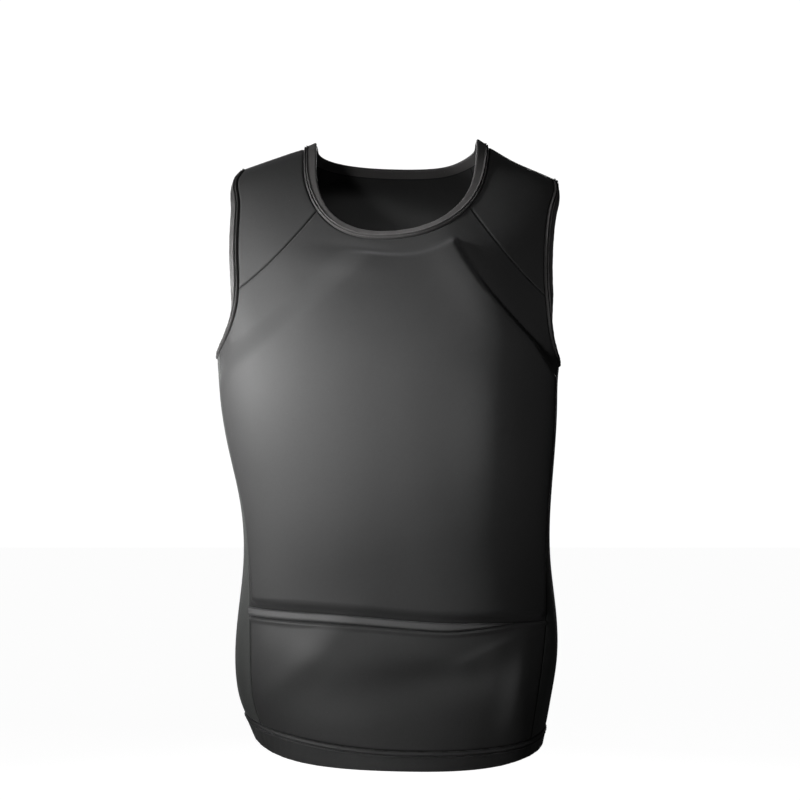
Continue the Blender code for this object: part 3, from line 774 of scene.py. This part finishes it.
def stitch_faces(count):
    """The faces of that many stitches, each a tube through its rings."""
    one = []
    for j in range(len(STITCH_RINGS) - 1):
        for k in range(STITCH_SIDES):
            a, b = j * STITCH_SIDES + k, j * STITCH_SIDES + (k + 1) % STITCH_SIDES
            one.append((a, a + STITCH_SIDES, b + STITCH_SIDES, b))
    base = np.arange(count)[:, None] * len(STITCH_RINGS) * STITCH_SIDES
    return (base[:, None] + np.array(one)[None]).reshape(-1, 4)


def stitches(name, line, material, stitch):
    """Short raised threads, spaced along a line of (points, outward directions, closed)."""
    points, outs, closed = line
    if closed:
        points, outs = np.vstack((points, points[:1])), np.vstack((outs, outs[:1]))
    run = run_along(points)
    count = int(run[-1] / stitch.pitch)
    at = (np.arange(count) + 0.5) * run[-1] / count

    def along_line(values, where):
        return np.stack([np.interp(where, run, values[:, k]) for k in range(3)], -1)

    centre = along_line(points, at)
    out = unit(along_line(outs, at))
    along = unit(along_line(points, at + 0.0005) - along_line(points, at - 0.0005))
    across = unit(np.cross(out, along))
    if stitch.slant:
        slant = math.radians(stitch.slant)
        sign = np.where(np.arange(count) % 2 == 0, 1.0, -1.0)[:, None]
        along = unit(along * math.cos(slant) + across * sign * math.sin(slant))
        across = unit(np.cross(out, along))
    body = []
    for row in STITCH_RINGS:
        for k in range(STITCH_SIDES):
            turn = 2 * math.pi * k / STITCH_SIDES
            body.append(
                centre
                + along * (row.place * stitch.length / 2)
                + across * (math.cos(turn) * stitch.radius * row.girth)
                + out * (math.sin(turn) * stitch.radius * row.girth + row.lift * stitch.radius)
            )
    vertices = np.stack(body, 1).reshape(-1, 3)
    zeros = np.zeros(len(vertices))
    return solid(name, vertices, stitch_faces(count), material, vertices[:, [0, 2]], zeros)


# Materials


def node(tree, kind, **values):
    """A new node. Values whose names start with in_ set inputs, the others set properties."""
    made = tree.nodes.new(kind)
    for key, value in values.items():
        if key.startswith("in_"):
            made.inputs[key[3:]].default_value = value
        else:
            setattr(made, key, value)
    return made


def maths(tree, operation, first, second=None, third=None):
    made = node(tree, "ShaderNodeMath", operation=operation)
    for socket, value in zip(made.inputs, (first, second, third)):
        if value is None:
            continue
        if isinstance(value, (int, float)):
            socket.default_value = value
        else:
            tree.links.new(value, socket)
    return made.outputs[0]


def new_material(name, inputs):
    """A material with those inputs of its shader set, its node tree and its shader."""
    material = bpy.data.materials.new(name)
    material.use_nodes = True
    shader = material.node_tree.nodes["Principled BSDF"]
    for key, value in inputs.items():
        shader.inputs[key].default_value = value
    return material, material.node_tree, shader


Knit = namedtuple("Knit", "shade tint roughness sheen specular wale course bump")
PLAIN = (1.0, 1.0, 1.0)
GREENISH = (0.97, 1.01, 0.97)
WARM = (1.03, 0.99, 0.98)


def knit(name, look):
    """A knit cloth: loops in columns and rows, a little unevenness, lint, and painted shade in its
    seams and grooves.
    """
    inputs = {
        "Metallic": 0.0,
        "Specular IOR Level": look.specular,
        "Sheen Weight": look.sheen,
        "Sheen Roughness": 0.45,
        "Sheen Tint": (0.75, 0.75, 0.77, 1.0),
    }
    material, tree, shader = new_material(name, inputs)
    link, calc = tree.links.new, partial(maths, tree)
    place = node(tree, "ShaderNodeTexCoord")
    cut = node(tree, "ShaderNodeUVMap", uv_map="cut")
    axes = node(tree, "ShaderNodeSeparateXYZ")
    link(cut.outputs["UV"], axes.inputs[0])

    # The loops lean left and right by turns, so each column of them is a row of small V shapes
    wales = calc("DIVIDE", axes.outputs["X"], look.wale)
    lean = calc("PINGPONG", wales, 0.5)
    courses = calc("ADD", calc("DIVIDE", axes.outputs["Y"], look.course), lean)
    column_wave = calc("ABSOLUTE", calc("SINE", calc("MULTIPLY", wales, math.pi)))
    row_wave = calc("SINE", calc("MULTIPLY", courses, 2 * math.pi))
    loops = calc("MULTIPLY", column_wave, calc("MULTIPLY_ADD", row_wave, 0.3, 0.7))

    broad = node(tree, "ShaderNodeTexNoise", in_Scale=14.0, in_Detail=3.0, in_Roughness=0.5)
    fine = node(tree, "ShaderNodeTexNoise", in_Scale=420.0, in_Detail=3.0, in_Roughness=0.6)
    link(place.outputs["Object"], broad.inputs["Vector"])
    link(place.outputs["Object"], fine.inputs["Vector"])

    # Colour: the shade varies a little, loops catch light, seams and the bands' grooves hold painted
    # shade, lint shows here and there
    seam = node(tree, "ShaderNodeAttribute", attribute_name="near_seam")
    lint = node(tree, "ShaderNodeTexVoronoi", in_Scale=70.0, in_Randomness=1.0)
    link(place.outputs["Object"], lint.inputs["Vector"])
    speck = calc("LESS_THAN", lint.outputs["Distance"], 0.022)
    shade = calc("MULTIPLY_ADD", broad.outputs["Fac"], 0.30, 0.85)
    shade = calc("MULTIPLY", shade, calc("MULTIPLY_ADD", fine.outputs["Fac"], 0.22, 0.89))
    shade = calc("MULTIPLY", shade, calc("MULTIPLY_ADD", loops, 0.16, 0.92))
    # Painted shade: the colour darkens near seams and in grooves, where shade falls
    dark = calc("MULTIPLY_ADD", seam.outputs["Fac"], -0.75, 1.0)
    shade = calc("MULTIPLY", shade, calc("MAXIMUM", dark, 0.15))
    shade = calc("MULTIPLY_ADD", speck, 1.2, shade)
    colour = node(tree, "ShaderNodeVectorMath", operation="SCALE")
    colour.inputs["Vector"].default_value = [look.shade * tint for tint in look.tint]
    link(shade, colour.inputs["Scale"])
    link(colour.outputs["Vector"], shader.inputs["Base Color"])

    rough = calc("MULTIPLY_ADD", broad.outputs["Fac"], 0.14, look.roughness - 0.07)
    rough = calc("MULTIPLY_ADD", seam.outputs["Fac"], 0.2, rough)
    link(rough, shader.inputs["Roughness"])

    weave = node(tree, "ShaderNodeBump", in_Strength=look.bump, in_Distance=0.00022)
    link(loops, weave.inputs["Height"])
    uneven = node(tree, "ShaderNodeBump", in_Strength=0.5, in_Distance=0.0012)
    link(broad.outputs["Fac"], uneven.inputs["Height"])
    link(weave.outputs["Normal"], uneven.inputs["Normal"])
    link(uneven.outputs["Normal"], shader.inputs["Normal"])
    return material


def thread(name, shade):
    """Smooth polyester thread with its twist."""
    inputs = {"Specular IOR Level": 0.5, "Sheen Weight": 0.15, "Sheen Roughness": 0.4}
    material, tree, shader = new_material(name, inputs)
    link, calc = tree.links.new, partial(maths, tree)
    place = node(tree, "ShaderNodeTexCoord")
    twist = node(
        tree, "ShaderNodeTexWave", in_Scale=900.0, in_Distortion=1.5, bands_direction="DIAGONAL"
    )
    link(place.outputs["Object"], twist.inputs["Vector"])
    ramp = node(tree, "ShaderNodeValToRGB")
    ramp.color_ramp.elements[0].color = (shade * 0.7, shade * 0.7, shade * 0.7, 1.0)
    ramp.color_ramp.elements[1].color = (shade * 1.25, shade * 1.25, shade * 1.27, 1.0)
    link(twist.outputs["Fac"], ramp.inputs["Fac"])
    link(ramp.outputs["Color"], shader.inputs["Base Color"])
    rough = calc("MULTIPLY_ADD", twist.outputs["Fac"], 0.15, 0.42)
    link(rough, shader.inputs["Roughness"])
    bump = node(tree, "ShaderNodeBump", in_Strength=0.4, in_Distance=0.0001)
    link(twist.outputs["Fac"], bump.inputs["Height"])
    link(bump.outputs["Normal"], shader.inputs["Normal"])
    return material


# The cloth is black throughout. The lower front, hem, welt, sides, yokes and bindings are lighter than
# the front partly for their own cloth and partly as painted light, making up for light the lamps don't
# give them.
FRONT_KNIT = Knit(0.042, PLAIN, 0.62, 0.20, 0.36, 0.0011, 0.0009, 0.25)
LOWER_KNIT = Knit(0.059, PLAIN, 0.55, 0.20, 0.40, 0.0011, 0.0009, 0.25)
WELT_KNIT = Knit(0.120, PLAIN, 0.55, 0.25, 0.42, 0.0011, 0.0009, 0.30)
BACK_KNIT = Knit(0.038, PLAIN, 0.55, 0.22, 0.40, 0.0011, 0.0009, 0.25)
SIDE_KNIT = Knit(0.086, GREENISH, 0.66, 0.25, 0.30, 0.0012, 0.0010, 0.35)
YOKE_KNIT = Knit(0.048, PLAIN, 0.62, 0.20, 0.35, 0.0011, 0.0009, 0.25)
ARM_KNIT = Knit(0.066, WARM, 0.50, 0.25, 0.50, 0.0016, 0.0010, 0.40)
RIB_KNIT = Knit(0.115, WARM, 0.50, 0.25, 0.50, 0.0016, 0.0010, 0.40)
HEM_KNIT = Knit(0.059, PLAIN, 0.57, 0.20, 0.40, 0.0011, 0.0009, 0.25)

# Bands, each with how far off its seam its stitches lie and how deep they sink under its face
Form = namedtuple("Form", "width thickness proud beads look thread_across thread_sunk")
ARM_FORM = Form(ARM_BAND, 0.0032, BAND_PROUD, ARM_BEADS, ARM_KNIT, 0.0030, 0.00035)
NECK_FORM = Form(NECK_BAND, 0.0032, BAND_PROUD, NECK_BEADS, RIB_KNIT, 0.0025, 0.00045)
HEM_FORM = Form(HEM_HEIGHT, 0.0034, HEM_PROUD, HEM_BEADS, HEM_KNIT, 0.0048, 0.00035)

# Pieces. Each returns its object, which stands for the part's node of the same place.


def dress(piece, node_name):
    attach(piece, "root")
    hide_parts(node_name)
    return piece


def sewn(piece):
    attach(piece, "root")
    return piece


def make_front():
    u = shares(0.335, 135, (NECK_SHARE, 1 - NECK_SHARE))
    v = shares(0.330, 135, (FRONT_CORNER,))
    left, right = face_edge(RIGHT, True, v), face_edge(LEFT, True, v)
    places = face_patch(mouth_line(u), top_edge(True, u), left, right, u, v, True)
    lift = armour(places[..., 0], places[..., 1])
    return panel("front_knit", places, FRONT_KNIT, lift, seed=1)


def make_back():
    u = shares(0.335, 130, (NECK_SHARE, 1 - NECK_SHARE))
    v = shares(0.560, 150, (BACK_WELT, BACK_CORNER))
    left, right = face_edge(LEFT, False, v), face_edge(RIGHT, False, v)
    bottom = hem_line(left[0, 0], right[0, 0], u)
    places = face_patch(bottom, top_edge(False, u), left, right, u, v, False)
    lift = armour(places[..., 0], places[..., 1])
    return panel("back_knit", places, BACK_KNIT, lift, seed=5)


def make_lower_front():
    u = shares(0.335, 150, (WELT_END,))
    v = shares(0.130, 60)
    low, _ = seam_ends(True)
    left = side_seam(RIGHT, True, low + (WELT_TOP - WELT_HEIGHT - low) * v)
    right = side_seam(LEFT, True, low + (WELT_TOP - low) * v)
    bottom = hem_line(left[0, 0], right[0, 0], u)
    places = face_patch(bottom, welt_foot(u), left, right, u, v, True)
    below_welt = (1 - v) * (WELT_TOP - WELT_HEIGHT - low)
    lip = LIP_RISE * bell((below_welt - LIP_BELOW) / LIP_HALF_WIDTH)
    lift = np.broadcast_to(lip[:, None], places.shape[:2])
    return panel("lower_front_knit", places, LOWER_KNIT, lift, seed=8)


def welt_places():
    u = shares(0.30, 150) * WELT_END
    w = np.linspace(0, 1, 17)
    tops, feet = mouth_line(u), welt_foot(u)
    return feet[None] + (tops - feet)[None] * w[:, None, None], w


# The welt's form from its foot to its top, and how proud its narrow end still stands
WELT_HEIGHTS = (0.0, 0.06, 0.16, 0.32, 0.60, 0.82, 0.94, 1.0)
WELT_LIFTS = (0.20, 0.55, 0.85, 1.0, 0.98, 1.0, 0.88, 0.55)
WELT_TIP_SHARE = 0.35


def welt_share(angle):
    """How proud the welt stands at those angles, as a share of its middle's."""
    return WELT_TIP_SHARE + (1 - WELT_TIP_SHARE) * welt_height(angle) / WELT_HEIGHT


def make_welt():
    places, w = welt_places()
    lift = WELT_PROUD * np.interp(w, WELT_HEIGHTS, WELT_LIFTS)[:, None]
    lift = np.broadcast_to(lift, places.shape[:2]) * welt_share(places[-1, :, 0])[None]
    return panel("welt_fold", places, WELT_KNIT, lift, pucker=0.0, seed=4, depth=0.0)


def make_side(side, word):
    u = shares(0.105, 40)
    v = shares(0.390, 140, (SIDE_WELT,))
    edges = []
    for front in (True, False):
        low, high = seam_ends(front)
        z = np.interp(v, (0, SIDE_WELT, 1), (low, WELT_TOP, high))
        edge = side_seam(side, front, z)
        corner = armhole_corner(front)
        edge[-1] = armhole_places(np.array(corner if front else -corner), side)
        edges.append(edge)
    turns = (armhole_corner(True), -armhole_corner(False))
    if side == RIGHT:
        edges, turns = edges[::-1], turns[::-1]
    top = armhole_places(turns[0] + (turns[1] - turns[0]) * u, side)
    bottom = hem_line(edges[0][0, 0], edges[1][0, 0], u)
    places = patch(bottom, top, edges[0], edges[1], u, v)
    return panel(f"side_knit_{word}", places, SIDE_KNIT, seed=2 + side)


def make_yoke(side, word):
    u = shares(0.230, 100)
    v = shares(0.095, 44)
    neck = neck_places(side * (YOKE_TURN_FRONT + (YOKE_TURN_BACK - YOKE_TURN_FRONT) * u))
    arm = armhole_places(YOKE_TURN_ARM + (360 - 2 * YOKE_TURN_ARM) * u, side)
    front, back = yoke_seam(side, True, 1 - v), yoke_seam(side, False, 1 - v)
    edges = [arm, neck, front, back]
    for edge in edges:
        edge[:, 0] = centred(edge[:, 0], side * 90)
    arm, neck, front, back = edges
    if side == LEFT:
        places = patch(arm, neck, front, back, u, v)
    else:
        places = patch(arm[::-1], neck[::-1], back, front, u, v)
    return panel(f"yoke_knit_{word}", places, YOKE_KNIT, seed=6 + side)


def neck_band():
    turns = even(neck_places, 420)
    level = np.cos(np.radians(turns))
    end = np.where(level > 0, NECK_TURN_FRONT, NECK_TURN_BACK)
    bend = NECK_TURN_SHOULDER + (end - NECK_TURN_SHOULDER) * level * level
    return band_frame(neck_places(turns), bend, NECK_BAND, NECK_SHOULDER_EXTRA * (1 - level**2) ** 4)


def arm_band(side):
    turns = even(lambda t: armhole_places(t, side), 300)
    if side == LEFT:
        turns = turns[::-1]
    places = armhole_places(turns, side)
    height = (places[:, 1] - ARMHOLE_MIDDLE) / ARMHOLE_HALF_HEIGHT
    rises = [(height - start) / over for start, over in (ARM_TURN_RISE_FRONT, ARM_TURN_RISE_BACK)]
    high = smooth(np.where(turns < 180, *rises))
    bend = ARM_TURN_FRONT + (ARM_TURN_SHOULDER - ARM_TURN_FRONT) * high
    off_low = np.abs(centred(turns, 0))
    bend += ARM_TURN_LOW * smooth((ARM_LOW_TURN - off_low) / ARM_LOW_TURN_WIDTH)
    return band_frame(places, bend, ARM_BAND)


def hem_band():
    turns = even(lambda t: np.stack((t, hem_height(t, HEM_SEAM)), -1), 420)[::-1]
    places = np.stack((turns, hem_height(turns, HEM_SEAM)), -1)
    x, z = flat(places).T
    return band_frame(places, np.zeros(len(turns)), HEM_HEIGHT, slant(x, z))


def band_line(band, across, out):
    """A line round a band at that distance off its seam, with its outward directions."""
    points = on_band(band, np.array([across]), np.array([out]))[:, 0]
    higher = on_band(band, np.array([across]), np.array([out + 0.001]))[:, 0]
    return points, unit(higher - points), True


WELT_STITCH_LIFT = 0.92


def topstitches(name, band, form, material):
    line = band_line(band, form.thread_across, form.proud - form.thread_sunk)
    return stitches(name, line, material, TOPSTITCH)


def welt_overlock(material):
    """The overlock along the welt's upper edge."""
    places, _ = welt_places()
    rim = places[-3]
    outs = outward(rim[:, 0], rim[:, 1])
    lift = WELT_PROUD * WELT_STITCH_LIFT * welt_share(rim[:, 0])[:, None]
    line = skin(rim[:, 0], rim[:, 1]) + outs * lift, outs, False
    return stitches("welt_stitches", line, material, OVERLOCK)


def make_garment():
    """Every piece, and what is sewn on it."""
    black = thread("black_thread", 0.06)
    made = {}
    made["front"] = dress(make_front(), "front_panel")
    made["back"] = dress(make_back(), "back_panel")
    made["lower"] = dress(make_lower_front(), "lower_front_panel")
    made["welt"] = dress(make_welt(), "pocket_welt")
    for side, word in ((LEFT, "left"), (RIGHT, "right")):
        made[f"side_{word}"] = dress(make_side(side, word), f"side_panel_{word}")
        made[f"yoke_{word}"] = dress(make_yoke(side, word), f"shoulder_yoke_{word}")
        band = arm_band(side)
        rib = ring(f"armhole_rib_{word}", band, ARM_FORM, side)
        made[f"arm_{word}"] = dress(rib, f"armhole_binding_{word}")
        rows = topstitches(f"armhole_stitches_{word}", band, ARM_FORM, black)
        made[f"arm_thread_{word}"] = sewn(rows)
    band = neck_band()
    made["neck"] = dress(ring("neck_rib", band, NECK_FORM, 3), "neck_binding")
    rows = topstitches("neck_stitches", band, NECK_FORM, black)
    made["neck_thread"] = sewn(rows)
    band = hem_band()
    made["hem"] = dress(ring("hem_fold", band, HEM_FORM, 4), "hem_band")
    rows = topstitches("hem_stitches", band, HEM_FORM, black)
    made["hem_thread"] = sewn(rows)
    made["welt_thread"] = sewn(welt_overlock(black))
    return made


# The form of a record of what each sheet was cut from: its length and width, its area where it's
# no strip, and what it is sewn to. Its sizes are the arcs between the pieces' own seams. No record
# is made here.
Cut = namedtuple("Cut", "piece length width area rests_on threads")


# The studio


# Three lamps in front, from the picture's left, and two behind
Lamp = namedtuple("Lamp", "azimuth elevation x z size spread power")
LAMPS = (
    Lamp(-70.0, 10.0, -0.04, -0.26, 0.3, 20.0, 1.05),
    Lamp(-25.0, 0.0, -0.02, -0.28, 0.3, 20.0, 0.28),
    Lamp(-35.0, 25.0, -0.06, -0.69, 0.3, 15.0, 0.14),
    Lamp(168.0, 20.0, 0.00, -0.33, 0.8, 180.0, 15.0),
    Lamp(-155.0, 20.0, 0.00, -0.33, 0.8, 180.0, 9.0),
)
LAMP_DISTANCE = 1.7
CHEST_DEPTH = 0.08


def place_lamp(number, lamp):
    """A soft round lamp that looks at the cloth at x and z. A small spread is that of a grid."""
    azimuth, elevation = math.radians(lamp.azimuth), math.radians(lamp.elevation)
    away = (
        math.sin(azimuth) * math.cos(elevation),
        -math.cos(azimuth) * math.cos(elevation),
        math.sin(elevation),
    )
    name = f"lamp_{number}"
    data = bpy.data.lights.new(name, "AREA")
    data.energy = lamp.power
    data.shape = "DISK"
    data.size = lamp.size
    data.spread = math.radians(lamp.spread)
    thing = add_object(name, data)
    thing.location = np.array((lamp.x, -CHEST_DEPTH, lamp.z)) + np.array(away) * LAMP_DISTANCE
    thing.rotation_euler = Vector(away).to_track_quat("Z", "Y").to_euler()


def stage_mesh(name, vertices, faces, glow, paint):
    """A stage object that the camera sees near white and that throws no light on the cloth."""
    mesh = bpy.data.meshes.new(name)
    mesh.from_pydata(vertices, [], faces)
    mesh.shade_smooth()
    inputs = {
        "Base Color": (paint, paint, paint, 1.0),
        "Roughness": 0.9,
        "Specular IOR Level": 0.0,
        "Emission Color": (1.0, 1.0, 1.0, 1.0),
        "Emission Strength": glow,
    }
    mesh.materials.append(new_material(name, inputs)[0])
    thing = add_object(name, mesh)
    thing.visible_diffuse = False
    thing.visible_glossy = False
    thing.visible_shadow = False


FLOOR_REACH = 7.0
FLOOR_HEIGHT = -1.05
FLOOR_GLOW = 0.97
FLOOR_PAINT = 0.2
BACKDROP_RADIUS = 8.0
BACKDROP_GLOW = 1.05
BACKDROP_RINGS = 16
BACKDROP_SIDES = 48


def make_floor():
    reach, z = FLOOR_REACH, FLOOR_HEIGHT
    corners = [(-reach, -reach, z), (reach, -reach, z), (reach, reach, z), (-reach, reach, z)]
    stage_mesh("studio_floor", corners, [(0, 1, 2, 3)], FLOOR_GLOW, FLOOR_PAINT)


def make_backdrop():
    """A wide ball round the whole scene, seen from within."""
    rings, sides = BACKDROP_RINGS, BACKDROP_SIDES
    vertices = []
    for j in range(rings + 1):
        tilt = math.pi * (j / rings - 0.5)
        girth, height = BACKDROP_RADIUS * math.cos(tilt), BACKDROP_RADIUS * math.sin(tilt)
        for i in range(sides):
            turn = 2 * math.pi * i / sides
            vertices.append((girth * math.cos(turn), girth * math.sin(turn), height))
    faces = []
    for j in range(rings):
        for i in range(sides):
            k = (i + 1) % sides
            low, high = j * sides, (j + 1) * sides
            faces.append((low + i, high + i, high + k, low + k))
    stage_mesh("studio_backdrop", vertices, faces, BACKDROP_GLOW, 0.0)


def make_studio():
    make_floor()
    make_backdrop()
    world = bpy.data.worlds.new("studio")
    bpy.context.scene.world = world
    world.use_nodes = True
    background = world.node_tree.nodes.get("Background")
    background.inputs["Color"].default_value = (1.0, 1.0, 1.0, 1.0)
    background.inputs["Strength"].default_value = 0.02
    for number, lamp in enumerate(LAMPS):
        place_lamp(number, lamp)
    bpy.context.scene.view_settings.view_transform = "Standard"


CAMERA_PLACE = (0.0051, -1.8, -0.273)


def make_camera():
    """At the photograph's place: level, about 1.8 m in front of the garment."""
    data = bpy.data.cameras.new("camera")
    data.lens = 75.0
    data.sensor_width = 36.0
    camera = add_object("camera", data)
    camera.location = CAMERA_PLACE
    camera.rotation_euler = (math.radians(90), 0, 0)
    bpy.context.scene.camera = camera


make_camera()
make_studio()
make_garment()
